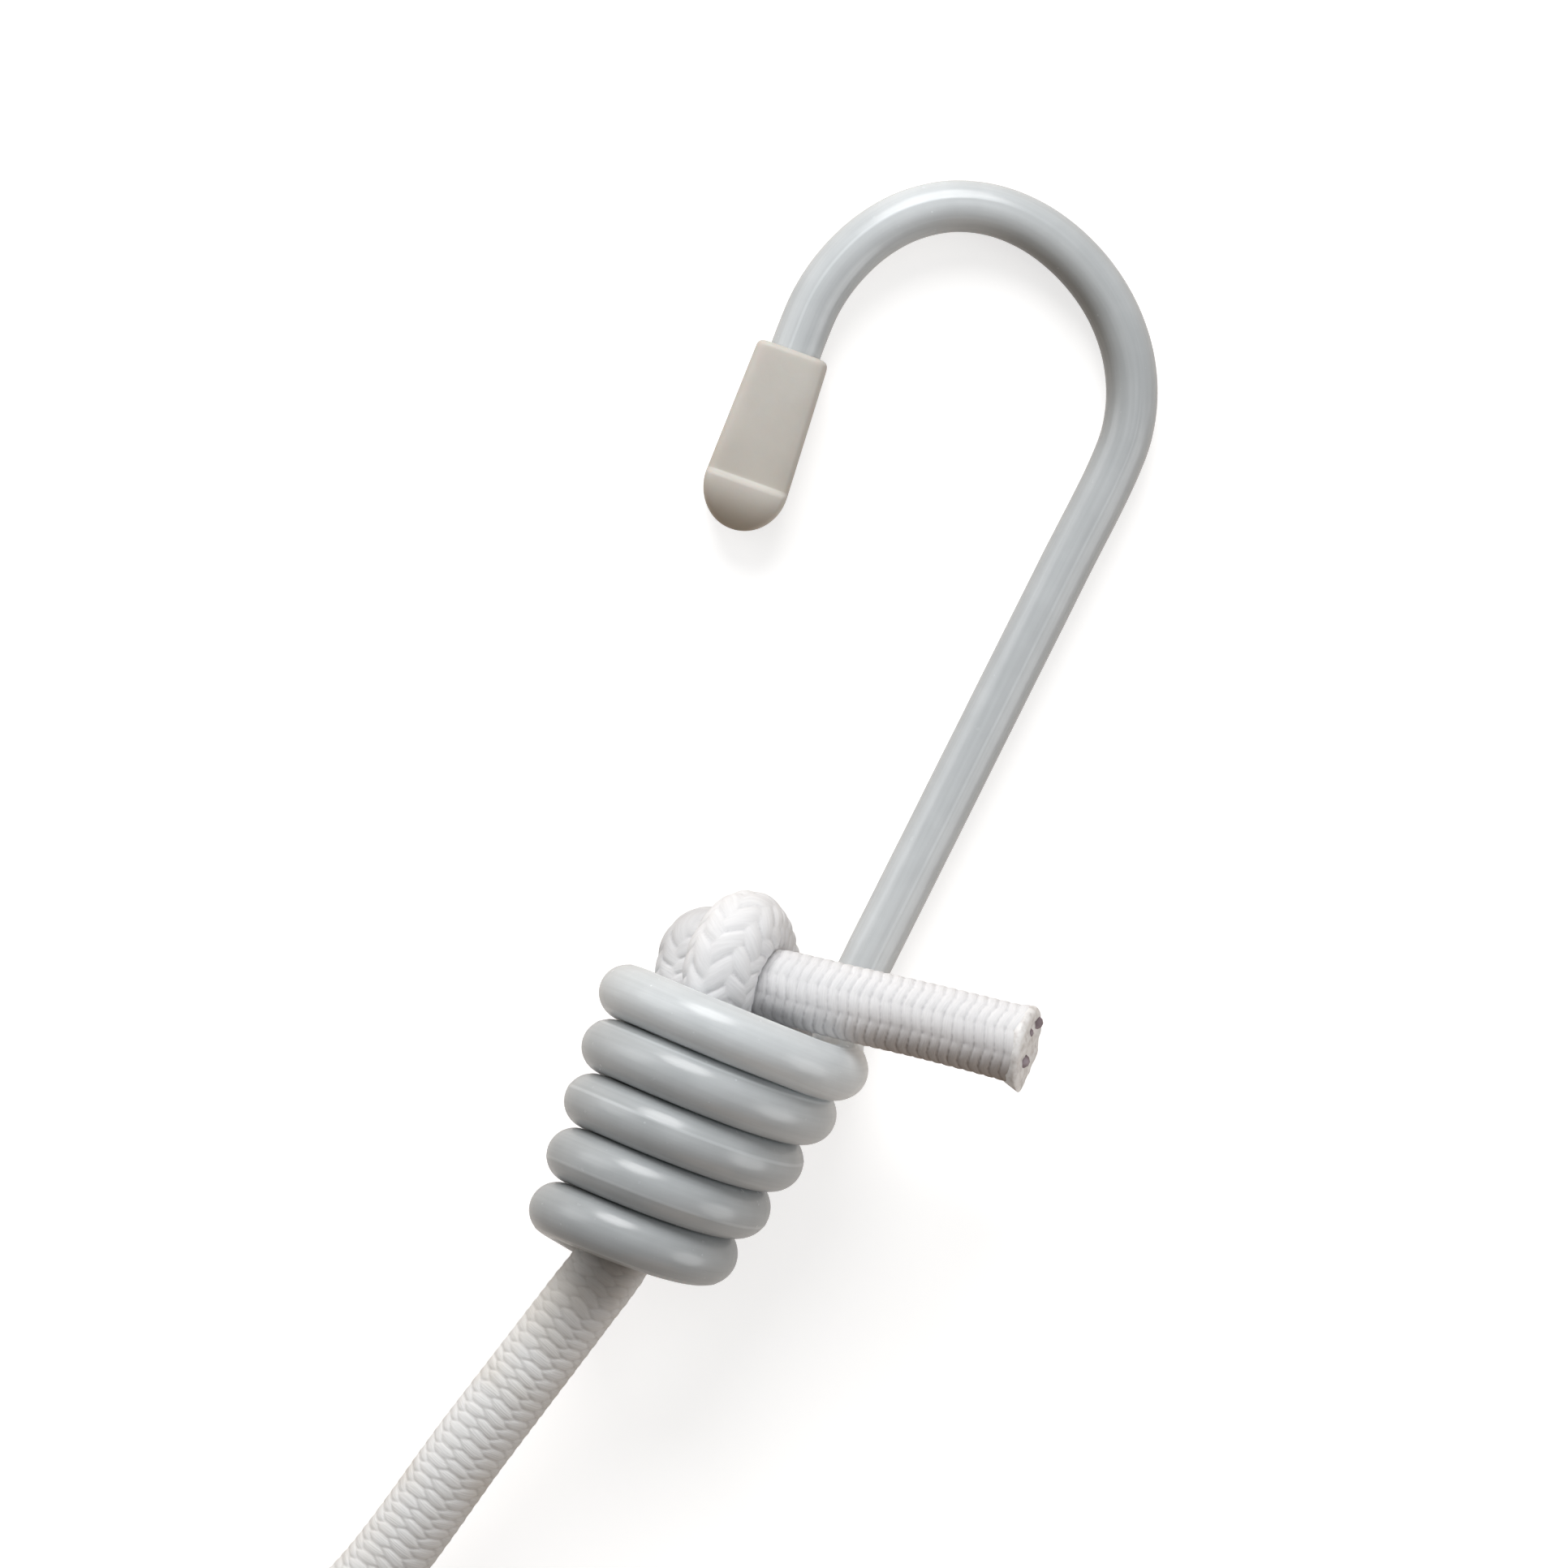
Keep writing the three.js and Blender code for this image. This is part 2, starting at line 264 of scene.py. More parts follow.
def ramp_between(tree, factor, low, low_colour, high, high_colour):
    node = add_node(tree, "ShaderNodeValToRGB", {"Fac": factor})
    node.color_ramp.elements[0].position = low
    node.color_ramp.elements[0].color = (*low_colour, 1)
    node.color_ramp.elements[1].position = high
    node.color_ramp.elements[1].color = (*high_colour, 1)
    return node.outputs["Color"]


def ramp_through(tree, factor, stops):
    """Greys through so many stops, each a place and a level."""
    node = add_node(tree, "ShaderNodeValToRGB", {"Fac": factor})
    elements = node.color_ramp.elements
    while len(elements) < len(stops):
        elements.new(0.5)
    for element, (place, level) in zip(elements, stops):
        element.position = place
        element.color = (*grey(level), 1)
    return node.outputs["Color"]


def multiply_colours(tree, first, *others):
    product = first
    for other in others:
        values = {"Factor": 1.0, 6: product, 7: other}
        mix = add_node(tree, "ShaderNodeMix", values, data_type="RGBA", blend_type="MULTIPLY")
        product = mix.outputs[2]
    return product


def set_bump(tree, shader, height, strength, distance):
    bump = add_node(tree, "ShaderNodeBump", {"Height": height, "Strength": strength, "Distance": distance})
    tree.links.new(bump.outputs[0], shader.inputs["Normal"])


# Braided yarn: painted shade between the picks, with fibres running along each pick
def yarn_material(name, yarn_colour, crevice_shade_colour, soil_colour, shade_and_soil_colour):
    material, tree, shader = new_material(name)
    # Painted shade in the crevices between the picks
    crevice_shade = ramp_between(tree, stored(tree, "yarn_height"), 0.05, crevice_shade_colour, 0.6, yarn_colour)
    stretched = scaled(tree, stored(tree, "yarn_cell", "Vector"), (1.2, 9.0, 40.0))
    fibres = noise_over(tree, stretched, scale=1.0, detail=3.0)
    streaks = ramp_between(tree, fibres, 0.3, grey(0.93), 0.65, plain)
    patches = noise_over(tree, object_place(tree), scale=110.0, detail=3.0)
    soil = ramp_between(tree, patches, 0.34, soil_colour, 0.52, plain)
    # Painted shade stored by the geometry tree: coil shadow with dirt on a lead, shade on the knot and on
    # a tail's lower side
    painted_shade = ramp_between(tree, stored(tree, "shade_and_soil"), 0.0, plain, 1.0, shade_and_soil_colour)
    tree.links.new(multiply_colours(tree, crevice_shade, streaks, soil, painted_shade), shader.inputs["Base Color"])
    shader.inputs["Roughness"].default_value = 0.8
    shader.inputs["Specular IOR Level"].default_value = 0.25
    set_bump(tree, shader, fibres, strength=0.25, distance=0.0002)
    return material


# Grey dipped coating: satin, with a faint seam and small specks, painted sheen streaks and painted shade
# inside the bend;
# its painted light and shade drift along the wire, each stop a place in metres along it and a level
painted_light_along_wire = ((0.0, 0.65), (0.2, 0.80), (0.27, 1.12), (0.293, 1.06), (0.33, 0.9), (0.366, 0.86),
                (0.38, 0.76), (0.392, 0.82), (0.41, 1.12), (0.424, 0.92), (0.44, 0.87))


def coating_material():
    material, tree, shader = new_material("grey_coating")
    place = object_place(tree)
    cloud = noise_over(tree, place, scale=260.0, detail=3.0)
    tint = ramp_between(tree, cloud, 0.35, (0.60, 0.63, 0.645), 0.65, (0.64, 0.67, 0.685))
    line = ramp_between(tree, stored(tree, "seam"), 0.3, grey(0.95), 0.8, grey(1.16))
    along = stored(tree, "along")
    # Painted light and shade along the wire: lighter or darker by where the wire lies
    painted_light_and_shade = ramp_through(tree, along, painted_light_along_wire)
    drawn = add_node(tree, "ShaderNodeCombineXYZ", {"X": stored(tree, "around"), "Y": along}).outputs[0]
    # Painted satin sheen: fine lighter streaks along the wire
    painted_sheen_streak = noise_over(tree, scaled(tree, drawn, (45.0, 60.0, 1.0)), scale=1.0, detail=3.0)
    streaks = ramp_between(tree, painted_sheen_streak, 0.3, grey(0.95), 0.7, grey(1.03))
    speck = add_node(tree, "ShaderNodeTexVoronoi", {"Vector": place, "Scale": 420.0}).outputs["Distance"]
    specks = ramp_between(tree, speck, 0.03, grey(1.22), 0.06, plain)
    # Painted shade on the inside of the bend
    bend_shade = ramp_between(tree, stored(tree, "painted_shade"), 0.0, plain, 1.0, (0.50, 0.47, 0.43))
    shade = multiply_colours(tree, tint, line, streaks, specks, bend_shade, painted_light_and_shade)
    tree.links.new(shade, shader.inputs["Base Color"])
    gloss = noise_over(tree, place, scale=900.0, detail=2.0)
    satin = add_node(tree, "ShaderNodeMapRange", {"Value": gloss, "To Min": 0.2, "To Max": 0.3})
    tree.links.new(satin.outputs[0], shader.inputs["Roughness"])
    set_bump(tree, shader, gloss, strength=0.06, distance=0.0002)
    return material


# Tip cap: warm grey moulded plastic, faintly mottled, with painted shade browning it towards its nose
def cap_material():
    material, tree, shader = new_material("tip_cap_plastic")
    place = object_place(tree)
    mottle = noise_over(tree, place, scale=180.0, detail=4.0)
    tint = ramp_between(tree, mottle, 0.35, (0.57, 0.545, 0.50), 0.65, (0.61, 0.585, 0.54))
    # Painted shade, browner towards the nose
    nose_shade = ramp_between(tree, stored(tree, "nose"), 0.0, plain, 1.0, (0.68, 0.60, 0.51))
    tree.links.new(multiply_colours(tree, tint, nose_shade), shader.inputs["Base Color"])
    shader.inputs["Roughness"].default_value = 0.55
    shader.inputs["Subsurface Weight"].default_value = 0.15
    shader.inputs["Subsurface Scale"].default_value = 0.002
    grain = noise_over(tree, place, scale=1500.0, detail=2.0)
    set_bump(tree, shader, grain, strength=0.08, distance=0.0002)
    return material


# Rubber strands: dark purple brown
def rubber_material():
    material, tree, shader = new_material("rubber_strands")
    patch = noise_over(tree, object_place(tree), scale=900.0, detail=3.0)
    tint = ramp_between(tree, patch, 0.35, (0.16, 0.12, 0.13), 0.7, (0.36, 0.30, 0.33))
    tree.links.new(tint, shader.inputs["Base Color"])
    shader.inputs["Roughness"].default_value = 0.6
    return material


# Melted yarn of the cut end: pale, in patches
def melted_material():
    material, tree, shader = new_material("melted_yarn")
    patch = noise_over(tree, object_place(tree), scale=1100.0, detail=3.0)
    tint = ramp_between(tree, patch, 0.3, (0.60, 0.57, 0.55), 0.6, (0.88, 0.87, 0.86))
    tree.links.new(tint, shader.inputs["Base Color"])
    shader.inputs["Roughness"].default_value = 0.45
    return material


# Tie: dark woven strap
def strap_material():
    material, tree, shader = new_material("woven_strap")
    thread = noise_over(tree, object_place(tree), scale=1400.0, detail=2.0)
    tint = ramp_between(tree, thread, 0.35, (0.028, 0.030, 0.033), 0.7, (0.07, 0.073, 0.078))
    tree.links.new(tint, shader.inputs["Base Color"])
    shader.inputs["Roughness"].default_value = 0.85
    set_bump(tree, shader, thread, strength=0.3, distance=0.0003)
    return material


# Each yarn: its colour, painted shade between picks, dirt patches, and the colour of its painted shade
# (with dirt on the leads)
cord_yarn = yarn_material("cord_yarn", (0.87, 0.87, 0.865), (0.78, 0.775, 0.765),
                          (0.93, 0.91, 0.88), (0.34, 0.31, 0.285))
knot_yarn = yarn_material("knot_yarn", (0.86, 0.86, 0.87), (0.76, 0.76, 0.775),
                          (0.95, 0.95, 0.955), (0.79, 0.79, 0.79))
tail_yarn = yarn_material("tail_yarn", (0.87, 0.87, 0.88), (0.77, 0.77, 0.785),
                          (0.95, 0.95, 0.955), (0.54, 0.49, 0.455))
grey_coating = coating_material()
cap_plastic = cap_material()
rubber = rubber_material()
melted_yarn = melted_material()
strap = strap_material()


# Braid: columns of picks round the tube, leaning by turns left and right
shade_and_soil_run = 0.016  # length over which painted coil shadow and dirt come in on the cord towards a coil
shade_and_soil_side = 0.78  # the way round to the upper side of a lead, where its painted coil shadow and dirt lie
side_shade_width = 0.2  # share of the way round that takes painted shade on a tail's lower side
level_height = 0.7  # yarn of this height lies on the cord's nominal radius
pick_overlap = 0.16  # how far a pick reaches under its neighbours, as a share of a column
pick_fall = 0.5  # a pick's ends lie lower than its middle by this share
pick_spread = 0.12  # picks differ in height by up to this share
seam_nudge = 0.001  # keeps the columns' borders off the tube's own seam


def braid_tree(name, material, spacing, sides):
    tree = Tree(name, {"Columns": 8, "Pitch": 0.00126, "Lean": 0.5, "Stagger": 0.5, "Relief": 0.0004,
                       "Squareness": 1.2, "Flatness": 2.0, "Wander": 0.25, "Turn": 0.0,
                       "Soiled from": 10.0, "Shade and soil spread": 10.0, "Side shade share": 0.0})
    tube = tree.tube(spacing, sides)
    turned = tree.maths("ADD", tree.read("around"), tree.source["Turn"])
    column_place = tree.maths("ADD", tree.maths("MULTIPLY", turned, tree.source["Columns"]), seam_nudge)
    position = tree.add("GeometryNodeInputPosition").outputs[0]
    drift = tree.add("ShaderNodeTexNoise", {"Vector": position, "Scale": 220.0, "Detail": 1.0}).outputs[0]
    wander = tree.maths("MULTIPLY", tree.maths("SUBTRACT", drift, 0.5), tree.source["Wander"])
    rows = tree.maths("ADD", tree.maths("DIVIDE", tree.read("along"), tree.source["Pitch"]), wander)
    height, cell = braid_pick(tree, column_place, rows, 0)
    for neighbour in (-1, 1):
        other_height, other_cell = braid_pick(tree, column_place, rows, neighbour)
        above = tree.maths("GREATER_THAN", other_height, height)
        mix = tree.add("ShaderNodeMix", {"Factor": above, 4: cell, 5: other_cell}, data_type="VECTOR")
        cell = mix.outputs[1]
        height = tree.maths("MAXIMUM", height, other_height)
    # Painted shade: a lead's coil shadow with dirt near its coil, the knot's shade past a place, and shade
    # on one side of a tail or lead
    shade_and_soil = tree.maths("SUBTRACT", tree.read("along"), tree.source["Soiled from"])
    shade_and_soil = tree.maths("DIVIDE", shade_and_soil, shade_and_soil_run)
    shade_and_soil = tree.maths("MINIMUM", tree.maths("MAXIMUM", shade_and_soil, 0.0), 1.0)
    aside = tree.maths("SUBTRACT", tree.read("around"), shade_and_soil_side)
    aside = tree.maths("DIVIDE", aside, tree.source["Shade and soil spread"])
    shade_and_soil = tree.maths("MULTIPLY", shade_and_soil, tree.fade(aside))
    # Painted shade on one side of the cord, coming in from its start
    below = tree.maths("PINGPONG", tree.read("around"), 0.5)
    side_shade = tree.fade(tree.maths("DIVIDE", below, side_shade_width))
    outward = tree.maths("MINIMUM", tree.maths("DIVIDE", tree.read("along"), shade_and_soil_run), 1.0)
    side_shade = tree.maths("MULTIPLY", side_shade, tree.maths("MULTIPLY", outward, outward))
    shade_and_soil = tree.maths("MAXIMUM", shade_and_soil, tree.maths("MULTIPLY", side_shade, tree.source["Side shade share"]))
    tube = tree.store(tube, "shade_and_soil", tree.maths("MINIMUM", shade_and_soil, 1.0))
    tube = tree.store(tube, "yarn_height", height)
    tube = tree.store(tube, "yarn_cell", cell, "FLOAT_VECTOR")
    lift = tree.maths("SUBTRACT", tree.read("yarn_height"), level_height)
    lift = tree.maths("MULTIPLY", lift, tree.source["Relief"])
    return tree.finish(tree.raise_by(tube, lift), material)


def braid_pick(tree, column_place, rows, neighbour):
    """Height of the pick of this column or a neighbouring one, and the place within that pick."""
    column = tree.maths("ADD", tree.maths("FLOOR", column_place), float(neighbour))
    middle = tree.maths("SUBTRACT", tree.maths("SUBTRACT", column_place, column), 0.5)
    odd = tree.maths("FLOORED_MODULO", column, 2.0)
    side = tree.maths("MULTIPLY_ADD", odd, -2.0, 1.0)
    leaning = tree.maths("MULTIPLY", tree.maths("MULTIPLY", side, middle), tree.source["Lean"])
    place = tree.maths("ADD", tree.maths("MULTIPLY_ADD", odd, tree.source["Stagger"], rows), leaning)
    row = tree.maths("FLOOR", place)
    within = tree.maths("SUBTRACT", place, row)
    edge = tree.maths("ABSOLUTE", tree.maths("DIVIDE", middle, 0.5 + pick_overlap))
    edge = tree.maths("MINIMUM", edge, 1.0)
    edge = tree.maths("MULTIPLY", edge, edge)
    width = tree.maths("SUBTRACT", 1.0, tree.maths("POWER", edge, tree.source["Squareness"]))
    offside = tree.maths("ABSOLUTE", tree.maths("MULTIPLY_ADD", within, 2.0, -1.0))
    offside = tree.maths("DIVIDE", offside, tree.maths("MAXIMUM", width, 0.001))
    fall = tree.maths("POWER", tree.maths("MINIMUM", offside, 1.0), tree.source["Flatness"])
    bulge = tree.maths("SQRT", tree.maths("SUBTRACT", 1.0, fall))
    wrapped = tree.maths("FLOORED_MODULO", column, tree.source["Columns"])
    chance = tree.add("ShaderNodeTexWhiteNoise", {"Vector": tree.vector(wrapped, row, 0.0)}).outputs[0]
    height = tree.maths("MULTIPLY", bulge, tree.maths("MULTIPLY_ADD", edge, -pick_fall, 1.0))
    share = tree.maths("MULTIPLY_ADD", chance, pick_spread, 1 - pick_spread)
    height = tree.maths("MULTIPLY", height, share)
    return height, tree.vector(middle, within, chance)


fine_braid = braid_tree("fine_braid", cord_yarn, spacing=0.00014, sides=120)
knot_braid = braid_tree("knot_braid", knot_yarn, spacing=0.00015, sides=120)
tail_braid = braid_tree("tail_braid", tail_yarn, spacing=0.00015, sides=120)
coarse_braid = braid_tree("coarse_braid", cord_yarn, spacing=0.00032, sides=32)

cord_weave = {"Columns": 10, "Pitch": 0.00132, "Lean": 0.25, "Stagger": 0.5, "Relief": 0.00016,
              "Squareness": 1.1, "Flatness": 2.0, "Wander": 0.6, "Turn": 0.085}
# The knot takes painted shade past 64 mm along its route
knot_weave = {"Columns": 10, "Pitch": 0.002, "Lean": 0.55, "Stagger": 0.5, "Relief": 0.00038,
              "Squareness": 4.0, "Flatness": 2.8, "Wander": 0.4, "Soiled from": 0.064}
# A tail takes painted shade on its lower side
tail_weave = {"Columns": 10, "Pitch": 0.00112, "Lean": 0.4, "Stagger": 0.0, "Relief": 0.00028,
              "Squareness": 4.0, "Flatness": 2.2, "Wander": 0.5, "Side shade share": 1.0}

# Cords: lead A, lead B and the hank between them
run_half_length = 0.040
outer_track = 0.026
track_step = 0.0092
layer_step = 0.0086
waist_draw = 0.009
waist_lift = 0.0015
cord_radius = cord_diameter / 2
run_end = run_half_length + cord_diameter
upper_layer = cord_radius + layer_step
meet_gap = 0.0003  # between two pieces that meet
bore_foot = -0.003  # the coil's lower end, from a hook's own zero
span_parts = 12  # each span of a cord's route is cut into so many parts
hank_overlap = 0.0015  # a lead starts this far inside the end of the hank's cord
lead_overlap = 0.0045  # a lead's end reaches this far into the coil, over the cord in the bore
lead_shade_and_soil_spread = 0.16  # share of the way round over which a lead takes painted coil shadow and dirt near its coil
# A lead takes painted shade on one side, at this share
lead_side_shade_share = 0.3

# Way from the hank to a coil: sideways, and share of the way
lead_way = [
    (-outer_track, 0),
    (-outer_track, 0.033),
    (-0.0256, 0.061),
    (-0.0225, 0.132),
    (-0.0175, 0.221),
    (-0.0125, 0.31),
    (-0.0086, 0.405),
    (-0.0047, 0.66),
    (-0.0015, 0.866),
    (-0.0005, 0.93),
    (0, 1),
]


def lead_points(side, hank_height):
    foot = run_end - hank_overlap
    top = hook_offset + bore_foot + lead_overlap
    points = []
    for across, share in lead_way:
        climb = share * share * (3 - 2 * share)
        height = hank_height + (axis_height - hank_height) * climb
        points.append((across, side * (foot + (top - foot) * share), height))
    return points


def hank_points():
    """Loops spiral in along the lower layer, climb along one run and spiral out on the upper layer."""
    tracks = [(1 if run % 2 else -1) * (outer_track - run * track_step / 2) for run in range(4)]
    tracks += [tracks[2], tracks[1], tracks[0]]
    climb_run = 3
    steps = 8
    points = [(-outer_track, run_end, cord_radius)]
    for run, track in enumerate(tracks):
        heading = 1 if run % 2 else -1
        for i in range(steps + 1):
            y = heading * run_half_length * (2 * i / steps - 1)
            waist = 0.5 * (1 + math.cos(math.pi * y / run_half_length))
            layer = 1 if run > climb_run else 0
            if run == climb_run:
                layer = 0.5 * (1 - math.cos(math.pi * i / steps))
            x = track - math.copysign(waist_draw * waist, track)
            points.append((x, y, cord_radius + layer * layer_step + waist_lift * waist))
        if run + 1 < len(tracks):
            middle = (track + tracks[run + 1]) / 2
            radius = (track - tracks[run + 1]) / 2
            height = points[-1][2]
            for i in range(1, steps):
                angle = math.pi * i / steps
                y = heading * (run_half_length + abs(radius) * math.sin(angle))
                points.append((middle + radius * math.cos(angle), y, height))
    points.append((-outer_track, -run_end, upper_layer))
    return points


def add_cord(name, points, radii, tree):
    """A stretch of free cord through the points, in place of the model's own sheath and core."""
    route = curve_through(points, span_parts)
    weave = dict(cord_weave)
    if tree == fine_braid:
        # A lead takes painted coil shadow and dirt near its coil, and painted shade on one side
        weave["Soiled from"] = route_length(route) - lead_overlap - shade_and_soil_run
        weave["Shade and soil spread"] = lead_shade_and_soil_spread
        weave["Side shade share"] = lead_side_shade_share
    cord = run_tree(name, tree, route, radii_along(radii, len(route)), weave)
    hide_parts(name + "_sheath", name + "_core")
    return cord


def radii_along(radii, count):
    """Radii at so many points, evenly between the given ones."""
    spread = []
    for i in range(count):
        place = i / (count - 1) * (len(radii) - 1)
        first = min(int(place), len(radii) - 2)
        spread.append(radii[first] + (radii[first + 1] - radii[first]) * (place - first))
    return spread


lead_radii = [0.0039, 0.0041, 0.0042, 0.0041, 0.0039, 0.0038]  # drawn thinner where it enters the coil
for letter, side, hank_height in (("a", 1, cord_radius), ("b", -1, upper_layer)):
    points = lead_points(side, hank_height)
    lead = add_cord(f"cord_{letter}_lead", points, lead_radii, fine_braid)
    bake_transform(lead)
hank_way = hank_points()
hank = add_cord("cord_hank", hank_way, [cord_radius, cord_radius], coarse_braid)
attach(hank, "line")

# Tie: a woven strap round the waist of the hank, its end lapped over on top
tie_width = 0.012
tie_thickness = 0.0012
tie_start = 0.006  # the strap starts this far right of the middle
tie_end = -0.0135  # and ends here, lying on its start
lap_rise = 1.08  # the lap lies this many thicknesses above the start
lap_ramp = 0.003  # it starts to rise this far from the right corner
lap_ramp_lift = 0.0002
lap_clear = 0.0015  # it is up this far before the start


def strap_tree():
    tree = Tree("woven_band", {"Width": tie_width, "Thickness": tie_thickness,
                               "Thread": 0.0008, "Ridge": 0.00007})
    length = tree.add("GeometryNodeSplineParameter").outputs["Length"]
    rail = tree.store(tree.rail(spacing=0.00016), "along", length)
    values = {"Width": tree.source["Width"], "Height": tree.source["Thickness"]}
    section = tree.add("GeometryNodeCurvePrimitiveQuadrilateral", values).outputs[0]
    values = {"Curve": section, "Radius": 0.00045, "Count": 4}
    section = tree.add("GeometryNodeFilletCurve", values, mode="POLY").outputs[0]
    values = {"Curve": section, "Count": 60}
    section = tree.add("GeometryNodeResampleCurve", values, mode="COUNT").outputs[0]
    values = {"Curve": rail, "Profile Curve": section, "Fill Caps": True}
    band = tree.add("GeometryNodeCurveToMesh", values).outputs[0]
    position = tree.add("GeometryNodeInputPosition").outputs[0]
    across = tree.add("ShaderNodeSeparateXYZ", {0: position}).outputs["Y"]
    weave = tree.maths("MULTIPLY", thread_wave(tree, across), thread_wave(tree, tree.read("along")))
    lift = tree.maths("MULTIPLY", weave, tree.source["Ridge"])
    return tree.finish(tree.raise_by(band, lift), strap)


def thread_wave(tree, place):
    threads = tree.maths("DIVIDE", place, tree.source["Thread"])
    return tree.maths("SINE", tree.maths("MULTIPLY", threads, 2 * math.pi))


def tie_points():
    """Once round the waist from the top, then on over the start."""
    half = tie_thickness / 2
    drawn_in = waist_draw * 0.5 * (1 + math.cos(math.pi * tie_width / 2 / run_half_length))
    left = drawn_in - outer_track - cord_radius - meet_gap - half
    right = outer_track - track_step / 2 - drawn_in + cord_radius + meet_gap + half
    top = waist_lift + cord_diameter + layer_step + meet_gap + half
    corner = cord_radius - half
    corner_steps = 6
    points = [(tie_start, 0, top), (0, 0, top)]
    corners = ((left + corner, top - corner), (left + corner, half + corner),
               (right - corner, half + corner), (right - corner, top - corner))
    for quarter, (x, z) in enumerate(corners, start=1):
        for i in range(corner_steps + 1):
            angle = math.pi / 2 * (quarter + i / corner_steps)
            points.append((x + corner * math.cos(angle), 0, z + corner * math.sin(angle)))
    points.append((right - corner - lap_ramp, 0, top + lap_ramp_lift))
    lap = top + tie_thickness * lap_rise
    points += [(x, 0, lap) for x in (tie_start + lap_clear, 0, tie_end / 2, tie_end)]
    return points


tie_route = curve_through(tie_points(), parts=6)
tie = run_tree("strap_tie", strap_tree(), tie_route, [1.0] * len(tie_route), {})
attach(tie, "line")
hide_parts("hank_tie")

# Hooks: one bent wire with its coating
coil_turns = 4.72
coil_pitch = 0.00585
coil_top_radius = 0.012
coil_taper = 0.0009
coil_top_front = 0.0231
shank_side = 0.0097
shank_drop = axis_height - wire_radius
bend_centre = 0.0938
bend_radius = 0.01795
bend_angle = math.radians(187)
bend_bulge = 0.00175  # the bend is drawn out by this much on its far shoulder
bend_bulge_angle = math.radians(120)
bend_bulge_spread = math.radians(40)
tip_length = 0.014
seam_place = 30 / 64  # where the mould line runs round the wire, just outward of its top on the shank
bend_shade_side = 0.25  # inside of the bend, where painted shade darkens the coating
bend_shade_width = 0.12
bend_run = 0.017
shank_swell = 0.03  # the dip is thicker than its nominal size, most of all on the coil
coil_swell = 0.09
coil_sag = 0.0003  # the top strand leans on the one below just before it turns up
coil_sag_place = 0.1
coil_sag_spread = 0.08
coil_run = 0.288  # length of wire in the coil
turn_run = 0.02  # length over which the dip gets thinner after it
end_share = 0.55  # the dip's radius at its very ends, as a share of the whole
end_run = 0.5  # its ends round off over this share of its radius
cap_thickness = 0.0072


def bend_point(angle, beyond):
    """A point on the bend; it tilts up a little so that the thicker cap lies on the floor too."""
    tilt = math.asin((cap_thickness / 2 - wire_radius) / (2 * bend_radius))
    aside = (angle - bend_bulge_angle) / bend_bulge_spread
    radius = bend_radius + bend_bulge * math.exp(-aside ** 2)
    across = bend_radius - radius * math.cos(angle) + beyond * math.sin(angle)
    y = bend_centre + radius * math.sin(angle) + beyond * math.cos(angle)
    return Vector((shank_side - across * math.cos(tilt), y, wire_radius + across * math.sin(tilt)))


def hook_points():
    """The wire: coil, turn up into the shank, shank, bend and tip."""
    sideways = math.sqrt(shank_side ** 2 + shank_drop ** 2 - coil_top_radius ** 2)
    depart_angle = math.atan2(shank_drop, shank_side) - math.atan2(sideways, coil_top_radius)
    front_turns = (depart_angle + math.pi / 2) / (2 * math.pi)
    points = []
    steps = 24 * math.floor(coil_turns)
    turn_steps = 6
    shank_steps = 5
    bend_steps = 14
    for i in range(steps + 1):
        turns_left = coil_turns * (1 - i / steps)
        angle = depart_angle - 2 * math.pi * turns_left
        radius = coil_top_radius - coil_taper * turns_left
        y = coil_top_front + coil_pitch * (front_turns - turns_left)
        y -= coil_sag * math.exp(-((turns_left - coil_sag_place) / coil_sag_spread) ** 2)
        points.append(Vector((radius * math.cos(angle), y, axis_height - radius * math.sin(angle))))
    climb = math.atan2(coil_pitch, 2 * math.pi * coil_top_radius)
    turn_radius = sideways / (1 - math.sin(climb))
    along = Vector((0, 1, 0))
    round_coil = Vector((-math.sin(depart_angle), 0, -math.cos(depart_angle)))
    heading = round_coil * math.cos(climb) + along * math.sin(climb)
    inward = along * math.cos(climb) - round_coil * math.sin(climb)
    depart = points[-1]
    for i in range(1, turn_steps + 1):
        angle = (math.pi / 2 - climb) * i / turn_steps
        turned = heading * math.sin(angle) + inward * (1 - math.cos(angle))
        points.append(depart + turned * turn_radius)
    shank_foot = points[-1].y
    for i in range(1, shank_steps):
        y = shank_foot + (bend_centre - shank_foot) * i / shank_steps
        points.append(Vector((shank_side, y, wire_radius)))
    for i in range(bend_steps + 1):
        points.append(bend_point(bend_angle * i / bend_steps, 0))
    points.append(bend_point(bend_angle, tip_length / 2))
    points.append(bend_point(bend_angle, tip_length))
    return points


